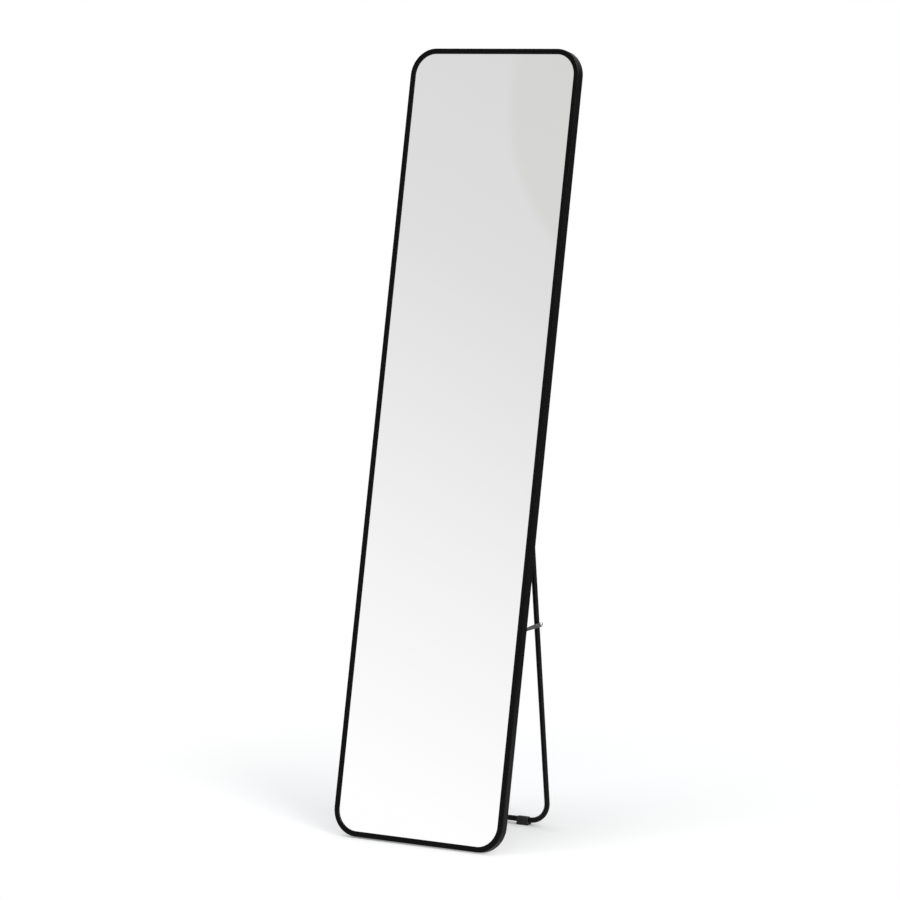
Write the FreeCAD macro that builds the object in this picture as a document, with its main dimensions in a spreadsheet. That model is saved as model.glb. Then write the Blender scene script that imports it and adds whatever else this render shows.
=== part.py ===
import FreeCAD, Part
import math
import os
import Sketcher

# Leaning floor mirror: a thin black hoop of folded channel holds the glass and its backing board.
# Two rails cross the back under the hoop's flange. Brackets welded on the upper one carry the
# hinges of a tubular U stand, and brackets on the lower one carry two flat stays that hook under
# studs on the stand's legs.
# Millimetres and degrees. X runs along the mirror's width, the glass faces -Y, and Z is up.
# The origin lies on the floor, midway between the object's extremes in X and in Y.

os.makedirs("parts", exist_ok=True)
doc = FreeCAD.newDocument("LeaningFloorMirror")

DRIVING_SIZES = {
    # hoop: channel folded from sheet, bent round, and closed by a seam at the bottom
    "mirror_width": 390,
    "mirror_height": 1600,
    "frame_depth": 20,
    "sheet_gauge": 1.2,
    "lip_width": 11,
    "flange_width": 12,
    "fold_radius": 1.6,
    "corner_radius": 55,
    "seam_gap": 0.3,
    "lean_angle": 11.5,
    # glass and what packs it into the channel
    "glass_thick": 4,
    "glass_gap": 2,
    "tape_thick": 1,
    "tape_width": 7,
    "tape_gap": 0.6,
    "board_thick": 5,
    "block_length": 40,
    "block_spacing": 200,
    "clip_length": 44,
    "clip_width": 7,
    "clip_gauge": 0.6,
    "clip_spacing": 400,
    "clip_shift": 15,
    # seam plate
    "plate_length": 76,
    "plate_gauge": 2,
    # cross rails
    "rail_height": 30,
    "rail_gauge": 1.5,
    "rail_fold_radius": 2,
    "rail_end_gap": 0.5,
    # pan screws in the seam plate and the rails
    "screw_radius": 1.75,
    "screw_head_radius": 3.4,
    "screw_head_height": 1.8,
    "screw_reach": 2.2,
    "hole_clearance": 0.05,
    # hinges of the stand
    "hinge_height": 828,
    "bracket_gauge": 2,
    "bracket_height": 26,
    "bracket_width": 31,
    "knuckle_gap": 2.25,
    "ear_radius": 7.5,
    "ear_gap": 5,
    "bolt_radius": 2.5,
    "bolt_hex": 8,
    "bolt_head_height": 3.5,
    "nut_height": 4.2,
    "bolt_tip": 1,
    "washer_radius": 6,
    "washer_thick": 1.15,
    "bearing_clearance": 0.05,
    # U stand
    "leg_inset": 53,
    "base_depth": 270,
    "tube_diameter": 11,
    "tube_wall": 1.2,
    "stand_bend_radius": 42,
    "lug_thick": 2.4,
    "lug_width": 15.9,
    "lug_drop": 7,
    "press_length": 24,
    # rubber feet on the cross tube
    "foot_inset": 57,
    "foot_length": 28,
    "foot_wall": 1.4,
    "foot_sole": 5,
    "sole_width": 17,
    "foot_slit": 0.8,
    # stays and the studs that they hook under
    "stud_drop": 387,
    "stud_radius": 2.5,
    "stud_head_radius": 4,
    "stud_head_height": 2,
    "stud_seat_gap": 0.1,
    "stay_side_gap": 2.2,
    "stay_gauge": 2,
    "stay_shank_height": 5,
    "stay_eye_radius": 5,
    "stay_drop": 8.5,
    "hook_gap": 0.3,
    "ramp_length": 22,
    "nose_width": 5,
    "nose_rise": 3,
    "toe_radius": 4,
    "pivot_gap": 2.2,
    "stay_bracket_width": 19,
    "stay_bracket_height": 26,
    "side_clearance": 0.3,
    "rivet_radius": 2.2,
    "rivet_head_radius": 3.8,
    "rivet_head_height": 1.4,
}

# What follows from the driving sizes. "Out" is measured from the hoop's back face towards the rear,
# "deep" from the same face towards the front, and "up" along the mirror from its bottom edge.
DERIVED_SIZES = {
    "lean_sin": "sin(Sizes.lean_angle)",
    "lean_cos": "cos(Sizes.lean_angle)",
    "front_y": "(Sizes.fold_radius - Sizes.frame_depth) * lean_cos"
               " + Sizes.fold_radius * lean_sin - Sizes.fold_radius",
    "rear_y": "(Sizes.mirror_height - Sizes.fold_radius) * lean_sin"
              " - Sizes.fold_radius * lean_cos + Sizes.fold_radius",
    "mirror_y": "-(front_y + rear_y) / 2",
    "mirror_z": "-Sizes.fold_radius * (lean_sin + lean_cos - 1)",
    "half_width": "Sizes.mirror_width / 2",
    "glass_front_deep": "Sizes.frame_depth - Sizes.sheet_gauge - Sizes.tape_thick",
    "glass_back_deep": "glass_front_deep - Sizes.glass_thick",
    "board_back_deep": "glass_back_deep - Sizes.board_thick",
    "bracket_out": "Sizes.bracket_gauge - Sizes.sheet_gauge",
    "hinge_out": "bracket_out + Sizes.lug_width / 2 + Sizes.knuckle_gap",
    "hinge_y": "mirror_y + hinge_out * lean_cos + Sizes.hinge_height * lean_sin",
    "hinge_z": "mirror_z - hinge_out * lean_sin + Sizes.hinge_height * lean_cos",
    "leg_x": "half_width - Sizes.leg_inset",
    "tube_radius": "Sizes.tube_diameter / 2",
    "bar_y": "mirror_y + Sizes.base_depth",
    "bar_z": "Sizes.foot_sole + tube_radius",
    "leg_angle": "atan2(bar_y - hinge_y; hinge_z - bar_z) / 1deg",
    "leg_length": "sqrt((bar_y - hinge_y)^2 + (hinge_z - bar_z)^2)",
    "neck_drop": "Sizes.lug_drop + Sizes.press_length",
    "stud_depth": "sqrt((tube_radius - Sizes.tube_wall)^2 - Sizes.stud_radius^2) - Sizes.stud_seat_gap",
    "stud_y": "hinge_y + Sizes.stud_drop * sin(leg_angle)",
    "stud_z": "hinge_z - Sizes.stud_drop * cos(leg_angle)",
    "pivot_out": "bracket_out + Sizes.stay_eye_radius + Sizes.pivot_gap",
    "pivot_z": "stud_z - Sizes.stay_drop",
    "pivot_y": "mirror_y + (pivot_out + (pivot_z - mirror_z) * lean_sin) / lean_cos",
    "stay_reach": "stud_y - pivot_y",
    "pivot_up": "(pivot_y - mirror_y) * lean_sin + (pivot_z - mirror_z) * lean_cos",
    "stay_x": "leg_x + tube_radius + Sizes.stay_side_gap",
    "stay_ear_x": "stay_x + Sizes.stay_gauge + Sizes.side_clearance",
    "flange_mid": "(Sizes.sheet_gauge + Sizes.flange_width) / 2",
    "clip_height": "board_back_deep - Sizes.sheet_gauge",
    "clip_radius": "(Sizes.clip_length^2 / 4 + clip_height^2) / (2 * clip_height)",
    "clip_inner_radius": "clip_radius - Sizes.clip_gauge",
    "clip_foot": "Sizes.clip_length / 2 - sqrt(clip_inner_radius^2 - (clip_radius - clip_height)^2)",
    "clevis_half": "Sizes.ear_gap / 2 + Sizes.bracket_gauge",
}

SIDES = (("left", -1), ("right", 1))
UPRIGHT = "placement(vector(0; {y}; {z}); rotation(vector(1; 0; 0); {turn}))"
ON_MIRROR = UPRIGHT.format(y="Layout.mirror_y", z="Layout.mirror_z", turn="-Sizes.lean_angle")
ON_STAND = UPRIGHT.format(y="Layout.hinge_y", z="Layout.hinge_z", turn="Layout.leg_angle")
ON_CROSS_TUBE = UPRIGHT.format(y="Layout.bar_y", z="Layout.bar_z", turn="0")
ON_STAY_PIVOT = UPRIGHT.format(y="Layout.pivot_y", z="Layout.pivot_z", turn="0")
SCREW_HOLE = "Sizes.screw_radius + Sizes.hole_clearance"
HINGE_UP = "Sizes.hinge_height"
STAY_UP = "Layout.pivot_up"

bodies = []


def fill_sheet(name, cells):
    sheet = doc.addObject("Spreadsheet::Sheet", name)
    for row, (alias, content) in enumerate(cells.items(), start=1):
        cell = "B%d" % row
        sheet.set("A%d" % row, alias)
        sheet.set(cell, content)
        sheet.setAlias(cell, alias)
    doc.recompute()
    return sheet


sizes = fill_sheet("Sizes", {alias: str(value) for alias, value in DRIVING_SIZES.items()})
layout = fill_sheet("Layout", {alias: "=" + rule for alias, rule in DERIVED_SIZES.items()})


def value(rule):
    return float(layout.evalExpression(rule))


def new_body(label, place):
    body = doc.addObject("PartDesign::Body", label)
    body.Label = label
    body.setExpression("Placement", place)
    bodies.append(body)
    return body


def new_sketch(body, name, plane, offset="0"):
    sketch = body.newObject("Sketcher::SketchObject", name)
    planes = [item for item in body.Origin.OriginFeatures if item.Role == plane + "_Plane"]
    sketch.AttachmentSupport = [(planes[0], "")]
    sketch.MapMode = "FlatFace"
    sketch.setExpression(".AttachmentOffset.Base.z", offset)
    return sketch


def bind(sketch, kind, where, rule):
    sketch.addConstraint(Sketcher.Constraint(kind, *where, value(rule)))
    sketch.setExpression("Constraints[%d]" % (sketch.ConstraintCount - 1), rule)


def arc_through(start, end, radius, turn):
    """Short arc from start to end that turns left (turn 1) or right (turn -1)."""
    chord = end - start
    rise = math.sqrt(max(radius ** 2 - chord.Length ** 2 / 4, 0))
    across = FreeCAD.Vector(-chord.y, chord.x, 0).normalize() * (rise * turn)
    centre = (start + end) / 2 + across
    first, last = (start, end) if turn > 0 else (end, start)
    angles = [math.atan2(point.y - centre.y, point.x - centre.x) for point in (first, last)]
    circle = Part.Circle(centre, FreeCAD.Vector(0, 0, 1), radius)
    return Part.ArcOfCircle(circle, *angles)


def outline(sketch, corners, closed=True):
    """Chain of lines and arcs. A corner is (x, y), or (x, y, radius, turn) where an arc leads to it."""
    points = [FreeCAD.Vector(value(corner[0]), value(corner[1]), 0) for corner in corners]
    first_piece = sketch.GeometryCount
    ends = []
    for index in range(0 if closed else 1, len(corners)):
        start, end, corner = points[index - 1], points[index], corners[index]
        if len(corner) == 2:
            piece = sketch.addGeometry(Part.LineSegment(start, end), False)
            ends.append((piece, 1, 2))
        else:
            radius, turn = corner[2:]
            piece = sketch.addGeometry(arc_through(start, end, value(radius), turn), False)
            ends.append((piece, 1, 2) if turn > 0 else (piece, 2, 1))
            bind(sketch, "Radius", (piece,), radius)
    for before, after in zip(ends, ends[1:] + ends[:1] if closed else ends[1:]):
        sketch.addConstraint(Sketcher.Constraint("Coincident", before[0], before[2], after[0], after[1]))
    for (piece, start_at, end_at), corner in zip(ends, corners if closed else corners[1:]):
        bind(sketch, "DistanceX", (-1, 1, piece, end_at), corner[0])
        bind(sketch, "DistanceY", (-1, 1, piece, end_at), corner[1])
    if not closed:
        bind(sketch, "DistanceX", (-1, 1, first_piece, ends[0][1]), corners[0][0])
        bind(sketch, "DistanceY", (-1, 1, first_piece, ends[0][1]), corners[0][1])
    return sketch


def ring(sketch, x, y, radius):
    circle = Part.Circle(FreeCAD.Vector(value(x), value(y), 0), FreeCAD.Vector(0, 0, 1), value(radius))
    piece = sketch.addGeometry(circle, False)
    bind(sketch, "Radius", (piece,), radius)
    bind(sketch, "DistanceX", (-1, 1, piece, 3), x)
    bind(sketch, "DistanceY", (-1, 1, piece, 3), y)
    return sketch


def rectangle(sketch, left, low, right, high):
    return outline(sketch, [(left, low), (right, low), (right, high), (left, high)])


def rounded_frame(sketch, half, low, high, radius):
    """Upright rectangle with rounded corners, centred on the mirror's width."""
    return outline(sketch, [
        (f"{half} - ({radius})", low),
        (half, f"{low} + {radius}", radius, 1),
        (half, f"{high} - ({radius})"),
        (f"{half} - ({radius})", high, radius, 1),
        (f"-({half}) + {radius}", high),
        (f"-({half})", f"{high} - ({radius})", radius, 1),
        (f"-({half})", f"{low} + {radius}"),
        (f"-({half}) + {radius}", low, radius, 1),
    ])


def extrude(body, kind, sketch, length, reverse=False):
    feature = body.newObject("PartDesign::" + kind, sketch.Name + "_" + kind.lower())
    feature.Profile = sketch
    feature.Reversed = reverse
    feature.setExpression("Length", length)
    sketch.Visibility = False
    return feature


def slab(body, name, sign, near, thickness, draw):
    """Plate square to X, from the distance near to near + thickness on one side of the middle."""
    sketch = new_sketch(body, name, "YZ", f"{sign} * ({near})")
    draw(sketch)
    return extrude(body, "Pad", sketch, thickness, reverse=sign < 0)


# ---- hoop, glass and backing -------------------------------------------------------------------

def make_frame_hoop():
    body = new_body("frame_hoop", ON_MIRROR)
    path = outline(new_sketch(body, "hoop_path", "XZ"), [
        ("Sizes.seam_gap / 2", "0"),
        ("Layout.half_width - Sizes.corner_radius", "0"),
        ("Layout.half_width", "Sizes.corner_radius", "Sizes.corner_radius", 1),
        ("Layout.half_width", "Sizes.mirror_height - Sizes.corner_radius"),
        ("Layout.half_width - Sizes.corner_radius", "Sizes.mirror_height", "Sizes.corner_radius", 1),
        ("Sizes.corner_radius - Layout.half_width", "Sizes.mirror_height"),
        ("-Layout.half_width", "Sizes.mirror_height - Sizes.corner_radius", "Sizes.corner_radius", 1),
        ("-Layout.half_width", "Sizes.corner_radius"),
        ("Sizes.corner_radius - Layout.half_width", "0", "Sizes.corner_radius", 1),
        ("-Sizes.seam_gap / 2", "0"),
    ], closed=False)
    # channel section: the wall lies at the bottom, the front lip and the back flange stand up from it
    section = outline(new_sketch(body, "channel_section", "YZ", "Sizes.seam_gap / 2"), [
        ("Sizes.fold_radius - Sizes.frame_depth", "0", "Sizes.fold_radius", 1),
        ("-Sizes.fold_radius", "0"),
        ("0", "Sizes.fold_radius", "Sizes.fold_radius", 1),
        ("0", "Sizes.flange_width"),
        ("-Sizes.sheet_gauge", "Sizes.flange_width"),
        ("-Sizes.sheet_gauge", "Sizes.sheet_gauge"),
        ("Sizes.sheet_gauge - Sizes.frame_depth", "Sizes.sheet_gauge"),
        ("Sizes.sheet_gauge - Sizes.frame_depth", "Sizes.lip_width"),
        ("-Sizes.frame_depth", "Sizes.lip_width"),
        ("-Sizes.frame_depth", "Sizes.fold_radius"),
    ])
    channel = body.newObject("PartDesign::AdditivePipe", "bent_channel")
    channel.Profile = section
    channel.Spine = path
    channel.Mode = "Standard"
    holes = new_sketch(body, "flange_holes", "XZ")
    for x, up in seam_screw_places() + rail_screw_places():
        ring(holes, x, up, SCREW_HOLE)
    extrude(body, "Pocket", holes, "Sizes.sheet_gauge", reverse=True)


def sheet_pane(label, thick_from, thick, radius_gap):
    """Rounded sheet that lies in the channel with the same gap to the wall all round."""
    body = new_body(label, ON_MIRROR)
    face = new_sketch(body, label + "_outline", "XZ", thick_from)
    edge = f"(Sizes.sheet_gauge + {radius_gap})"
    rounded_frame(face, f"Layout.half_width - {edge}", edge, f"Sizes.mirror_height - {edge}",
                  f"Sizes.corner_radius - {edge}")
    extrude(body, "Pad", face, thick)
    return body


def make_glazing():
    sheet_pane("mirror_glass", "Layout.glass_back_deep", "Sizes.glass_thick", "Sizes.glass_gap")
    sheet_pane("backing_board", "Layout.board_back_deep", "Sizes.board_thick", "Sizes.glass_gap")
    tape = sheet_pane("glazing_tape", "Layout.glass_front_deep", "Sizes.tape_thick", "Sizes.tape_gap")
    window = new_sketch(tape, "tape_window", "XZ", "Layout.glass_front_deep")
    inner = "(Sizes.sheet_gauge + Sizes.tape_gap + Sizes.tape_width)"
    rounded_frame(window, f"Layout.half_width - {inner}", inner, f"Sizes.mirror_height - {inner}",
                  f"Sizes.corner_radius - {inner}")
    extrude(tape, "Pocket", window, "Sizes.tape_thick", reverse=True)


def make_setting_blocks():
    body = new_body("setting_blocks", ON_MIRROR)
    plan = new_sketch(body, "block_faces", "XZ", "Layout.board_back_deep")
    for sign in (-1, 1):
        middle = f"{sign} * Sizes.block_spacing / 2"
        rectangle(plan, f"{middle} - Sizes.block_length / 2", "Sizes.sheet_gauge",
                  f"{middle} + Sizes.block_length / 2", "Sizes.sheet_gauge + Sizes.glass_gap")
    extrude(body, "Pad", plan, "Sizes.board_thick + Sizes.glass_thick")


def make_board_clips():
    body = new_body("board_clips", ON_MIRROR)
    half = "Sizes.clip_length / 2"
    board = "-Layout.board_back_deep"
    flange = "-Sizes.sheet_gauge"
    for side, sign in SIDES:
        sketch = new_sketch(body, f"{side}_bows", "YZ", f"{sign} * (Layout.half_width - Layout.flange_mid)")
        for step in (-1.5, -0.5, 0.5, 1.5):
            middle = f"Sizes.mirror_height / 2 + {step} * Sizes.clip_spacing + Sizes.clip_shift"
            outline(sketch, [
                (board, f"{middle} + {half}"),
                (flange, middle, "Layout.clip_radius", -1),
                (board, f"{middle} - {half}", "Layout.clip_radius", -1),
                (board, f"{middle} - {half} + Layout.clip_foot"),
                (f"{flange} - Sizes.clip_gauge", middle, "Layout.clip_inner_radius", 1),
                (board, f"{middle} + {half} - Layout.clip_foot", "Layout.clip_inner_radius", 1),
            ])
        bows = extrude(body, "Pad", sketch, "Sizes.clip_width")
        bows.Midplane = True


def make_seam_plate():
    body = new_body("seam_plate", ON_MIRROR)
    plan = new_sketch(body, "plate_outline", "XZ", "Sizes.sheet_gauge")
    half = "Sizes.plate_length / 2"
    rectangle(plan, f"-{half}", "Sizes.sheet_gauge + Sizes.side_clearance", half,
              "Sizes.flange_width - Sizes.side_clearance")
    extrude(body, "Pad", plan, "Sizes.plate_gauge")
    holes = new_sketch(body, "plate_holes", "XZ", "Sizes.sheet_gauge")
    for x, up in seam_screw_places():
        ring(holes, x, up, SCREW_HOLE)
    extrude(body, "Pocket", holes, "Sizes.plate_gauge", reverse=True)


# ---- cross rails and screws --------------------------------------------------------------------

def seam_screw_places():
    return [(f"{sign} * Sizes.plate_length / 4", "Layout.flange_mid") for sign in (-1, 1)]


def rail_screw_places():
    return [(f"{side} * (Layout.half_width - Layout.flange_mid)", up)
            for up in (HINGE_UP, STAY_UP) for side in (-1, 1)]


def make_rail(label, up):
    """Folded channel whose web lies under the hoop's flange and whose legs press on the board."""
    body = new_body(label, ON_MIRROR)
    end = "(Layout.half_width - Sizes.sheet_gauge - Sizes.rail_end_gap)"
    section = new_sketch(body, label + "_section", "YZ", f"-{end}")
    back = "-Sizes.sheet_gauge"
    web = "-Sizes.sheet_gauge - Sizes.rail_gauge"
    board = "-Layout.board_back_deep"
    low = f"{up} - Sizes.rail_height / 2"
    high = f"{up} + Sizes.rail_height / 2"
    fold = "Sizes.rail_fold_radius"
    outline(section, [
        (back, f"{low} + {fold}", fold, 1),
        (back, f"{high} - {fold}"),
        (f"{back} - {fold}", high, fold, 1),
        (board, high),
        (board, f"{high} - Sizes.rail_gauge"),
        (web, f"{high} - Sizes.rail_gauge"),
        (web, f"{low} + Sizes.rail_gauge"),
        (board, f"{low} + Sizes.rail_gauge"),
        (board, low),
        (f"{back} - {fold}", low),
    ])
    extrude(body, "Pad", section, f"2 * {end}")
    holes = new_sketch(body, label + "_holes", "XZ", "Sizes.sheet_gauge")
    for x, hole_up in rail_screw_places():
        if hole_up == up:
            ring(holes, x, hole_up, SCREW_HOLE)
    extrude(body, "Pocket", holes, "Sizes.rail_gauge", reverse=True)


def make_screws(label, places, grip):
    """Pan screws driven from behind, with their heads on the hoop's flange."""
    body = new_body(label, ON_MIRROR)
    shanks = new_sketch(body, label + "_shanks", "XZ")
    heads = new_sketch(body, label + "_heads", "XZ")
    for x, up in places:
        ring(shanks, x, up, "Sizes.screw_radius")
        ring(heads, x, up, "Sizes.screw_head_radius")
    extrude(body, "Pad", shanks, f"{grip} + Sizes.screw_reach")
    extrude(body, "Pad", heads, "Sizes.screw_head_height", reverse=True)


# ---- brackets, hinges and pivots ---------------------------------------------------------------

def ear_outline(sketch, out, up, radius):
    """Ear that stands on the bracket's base and is round about the pivot."""
    foot = "-Sizes.sheet_gauge"
    return outline(sketch, [
        (foot, f"{up} - {radius}"),
        (out, f"{up} - {radius}"),
        (f"{out} + {radius}", up, radius, 1),
        (out, f"{up} + {radius}", radius, 1),
        (foot, f"{up} + {radius}"),
    ])


def bracket_base(body, near, far, up, height):
    plan = new_sketch(body, "base", "XZ", "Sizes.sheet_gauge")
    rectangle(plan, near, f"{up} - {height} / 2", far, f"{up} + {height} / 2")
    extrude(body, "Pad", plan, "Sizes.bracket_gauge", reverse=True)


def make_hinge_bracket(side, sign):
    """Clevis: a base on the upper rail and two ears, one each side of the leg's lug."""
    body = new_body(f"hinge_bracket_{side}", ON_MIRROR)
    centre = f"{sign} * Layout.leg_x"
    bracket_base(body, f"{centre} - Sizes.bracket_width / 2", f"{centre} + Sizes.bracket_width / 2",
                 HINGE_UP, "Sizes.bracket_height")
    for ear, inner in (("outer", "Layout.leg_x + Sizes.ear_gap / 2"),
                       ("inner", "Layout.leg_x - Sizes.ear_gap / 2 - Sizes.bracket_gauge")):
        slab(body, f"{ear}_ear", sign, inner, "Sizes.bracket_gauge",
             lambda sketch: ear_outline(sketch, "Layout.hinge_out", HINGE_UP, "Sizes.ear_radius"))
    bore = new_sketch(body, "bolt_bore", "YZ", f"{sign} * Layout.leg_x - Layout.clevis_half")
    ring(bore, "Layout.hinge_out", HINGE_UP, "Sizes.bolt_radius + Sizes.hole_clearance")
    extrude(body, "Pocket", bore, "2 * Layout.clevis_half", reverse=True)


def hexagon(sketch, y, z, across_flats):
    corners = []
    for step in range(6):
        turn = 60 * step
        corners.append((f"{y} + {across_flats} / sqrt(3) * cos({turn})",
                        f"{z} + {across_flats} / sqrt(3) * sin({turn})"))
    return outline(sketch, corners)


def make_hinge_hardware():
    bolts = new_body("hinge_bolts", ON_MIRROR)
    nuts = new_body("lock_nuts", ON_MIRROR)
    washers = new_body("hinge_washers", ON_MIRROR)
    axis = ("Layout.hinge_out", HINGE_UP)
    nut_far = "Layout.leg_x - Layout.clevis_half - Sizes.nut_height"
    for side, sign in SIDES:
        slab(bolts, f"{side}_shank", sign, f"{nut_far} - Sizes.bolt_tip",
             "2 * Layout.clevis_half + Sizes.nut_height + Sizes.bolt_tip",
             lambda sketch: ring(sketch, *axis, "Sizes.bolt_radius"))
        slab(bolts, f"{side}_head", sign, "Layout.leg_x + Layout.clevis_half", "Sizes.bolt_head_height",
             lambda sketch: hexagon(sketch, *axis, "Sizes.bolt_hex"))
        slab(nuts, f"{side}_nut", sign, nut_far, "Sizes.nut_height",
             lambda sketch: ring(hexagon(sketch, *axis, "Sizes.bolt_hex"), *axis,
                                 "Sizes.bolt_radius + Sizes.hole_clearance"))
        for face, near in (("outer", "Layout.leg_x + Sizes.ear_gap / 2 - Sizes.washer_thick"),
                           ("inner", "Layout.leg_x - Sizes.ear_gap / 2")):
            slab(washers, f"{side}_{face}_washer", sign, near, "Sizes.washer_thick",
                 lambda sketch: ring(ring(sketch, *axis, "Sizes.washer_radius"), *axis,
                                     "Sizes.bolt_radius + Sizes.hole_clearance"))


def make_stay_bracket(side, sign):
    """Base on the lower rail with one ear, outboard of the stay."""
    body = new_body(f"stay_bracket_{side}", ON_MIRROR)
    bracket_base(body, f"{sign} * Layout.stay_ear_x", f"{sign} * (Layout.stay_ear_x + Sizes.stay_bracket_width)",
                 STAY_UP, "Sizes.stay_bracket_height")
    slab(body, "ear", sign, "Layout.stay_ear_x", "Sizes.bracket_gauge",
         lambda sketch: ear_outline(sketch, "Layout.pivot_out", STAY_UP, "Sizes.stay_eye_radius"))
    bore = new_sketch(body, "rivet_bore", "YZ", f"{sign} * Layout.stay_ear_x")
    ring(bore, "Layout.pivot_out", STAY_UP, "Sizes.rivet_radius + Sizes.hole_clearance")
    extrude(body, "Pocket", bore, "Sizes.bracket_gauge", reverse=sign > 0)


def make_stay_rivets():
    body = new_body("stay_rivets", ON_MIRROR)
    axis = ("Layout.pivot_out", STAY_UP)
    inner = "Layout.stay_x - Sizes.bearing_clearance"
    for side, sign in SIDES:
        slab(body, f"{side}_inner_head", sign, f"{inner} - Sizes.rivet_head_height", "Sizes.rivet_head_height",
             lambda sketch: ring(sketch, *axis, "Sizes.rivet_head_radius"))
        slab(body, f"{side}_shank", sign, inner, "Layout.stay_ear_x + Sizes.bracket_gauge - (" + inner + ")",
             lambda sketch: ring(sketch, *axis, "Sizes.rivet_radius"))
        slab(body, f"{side}_outer_head", sign, "Layout.stay_ear_x + Sizes.bracket_gauge",
             "Sizes.rivet_head_height", lambda sketch: ring(sketch, *axis, "Sizes.rivet_head_radius"))


# ---- U stand -----------------------------------------------------------------------------------

def make_stand_tube():
    """Bent tube. Its two ends are pressed flat into lugs, which are drilled for the hinge bolts."""
    body = new_body("stand_tube", ON_STAND)
    bend = "Sizes.stand_bend_radius"
    path = outline(new_sketch(body, "stand_path", "XZ"), [
        ("-Layout.leg_x", "-Layout.neck_drop"),
        ("-Layout.leg_x", f"{bend} - Layout.leg_length"),
        (f"{bend} - Layout.leg_x", "-Layout.leg_length", bend, 1),
        (f"Layout.leg_x - {bend}", "-Layout.leg_length"),
        ("Layout.leg_x", f"{bend} - Layout.leg_length", bend, 1),
        ("Layout.leg_x", "-Layout.neck_drop"),
    ], closed=False)
    section = new_sketch(body, "tube_section", "XY", "-Layout.neck_drop")
    ring(section, "-Layout.leg_x", "0", "Layout.tube_radius")
    ring(section, "-Layout.leg_x", "0", "Layout.tube_radius - Sizes.tube_wall")
    tube = body.newObject("PartDesign::AdditivePipe", "bent_tube")
    tube.Profile = section
    tube.Spine = path
    tube.Mode = "Standard"
    half_thick = "Sizes.lug_thick / 2"
    half_wide = "Sizes.lug_width / 2"
    radius = "Layout.tube_radius"
    spread = "Layout.tube_radius / sqrt(2)"
    for side, sign in SIDES:
        centre = f"{sign} * Layout.leg_x"
        round_end = outline(new_sketch(body, f"{side}_neck_round", "XY", "-Layout.neck_drop"), [
            (f"{centre} + {spread}", f"-{spread}", radius, 1),
            (f"{centre} + {spread}", spread, radius, 1),
            (f"{centre} - {spread}", spread, radius, 1),
            (f"{centre} - {spread}", f"-{spread}", radius, 1),
        ])
        flat_end = rectangle(new_sketch(body, f"{side}_neck_flat", "XY", "-Sizes.lug_drop"),
                             f"{centre} + {half_thick}", f"-{half_wide}", f"{centre} - {half_thick}", half_wide)
        neck = body.newObject("PartDesign::AdditiveLoft", f"{side}_neck")
        neck.Profile = round_end
        neck.Sections = [flat_end]
        neck.Ruled = False
        slab(body, f"{side}_lug", sign, f"Layout.leg_x - {half_thick}", "Sizes.lug_thick",
             lambda sketch: outline(sketch, [
                 (f"-{half_wide}", "-Sizes.lug_drop"),
                 (half_wide, "-Sizes.lug_drop"),
                 (half_wide, "0"),
                 ("0", half_wide, half_wide, 1),
                 (f"-{half_wide}", "0", half_wide, 1),
             ]))
    bore = new_sketch(body, "lug_bores", "YZ", "Layout.leg_x + Layout.tube_radius")
    ring(bore, "0", "0", "Sizes.bolt_radius + Sizes.hole_clearance")
    extrude(body, "Pocket", bore, "2 * (Layout.leg_x + Layout.tube_radius)")
    for side, sign in SIDES:
        hole = new_sketch(body, f"{side}_stud_hole", "YZ", f"{sign} * (Layout.leg_x + Layout.tube_radius)")
        ring(hole, "0", "-Sizes.stud_drop", "Sizes.stud_radius + Sizes.hole_clearance")
        extrude(body, "Pocket", hole, "Layout.tube_radius", reverse=sign < 0)


def make_stay_studs():
    """Shouldered studs. Each passes through the leg's outer wall and bottoms on the inner one."""
    body = new_body("stay_studs", ON_STAND)
    axis = ("0", "-Sizes.stud_drop")
    seat = "Layout.leg_x - Layout.stud_depth"
    head = "Layout.stay_x + Sizes.stay_gauge + Sizes.side_clearance"
    for side, sign in SIDES:
        slab(body, f"{side}_shank", sign, seat, f"{head} - ({seat})",
             lambda sketch: ring(sketch, *axis, "Sizes.stud_radius"))
        slab(body, f"{side}_head", sign, head, "Sizes.stud_head_height",
             lambda sketch: ring(sketch, *axis, "Sizes.stud_head_radius"))


def make_foot(side, sign):
    """Rubber foot snapped on the cross tube through a slit at its rear, with a flat sole."""
    body = new_body(f"foot_{side}", ON_CROSS_TUBE)
    near = "(Layout.leg_x - Sizes.foot_inset - Sizes.foot_length / 2)"
    shell = "Layout.tube_radius + Sizes.foot_wall"
    half_sole = "Sizes.sole_width / 2"
    slab(body, "block", sign, near, "Sizes.foot_length", lambda sketch: outline(sketch, [
        (f"-{half_sole}", "-Layout.bar_z"),
        (half_sole, "-Layout.bar_z"),
        (shell, "0"),
        ("0", shell, shell, 1),
        (f"-({shell})", "0", shell, 1),
    ]))
    bore = new_sketch(body, "tube_bore", "YZ", f"{sign} * ({near})")
    ring(bore, "0", "0", "Layout.tube_radius + Sizes.hole_clearance")
    extrude(body, "Pocket", bore, "Sizes.foot_length", reverse=sign > 0)
    slit = new_sketch(body, "slit", "YZ", f"{sign} * ({near})")
    rectangle(slit, "0", "-Sizes.foot_slit / 2", f"2 * ({shell})", "Sizes.foot_slit / 2")
    extrude(body, "Pocket", slit, "Sizes.foot_length", reverse=sign > 0)


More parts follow.
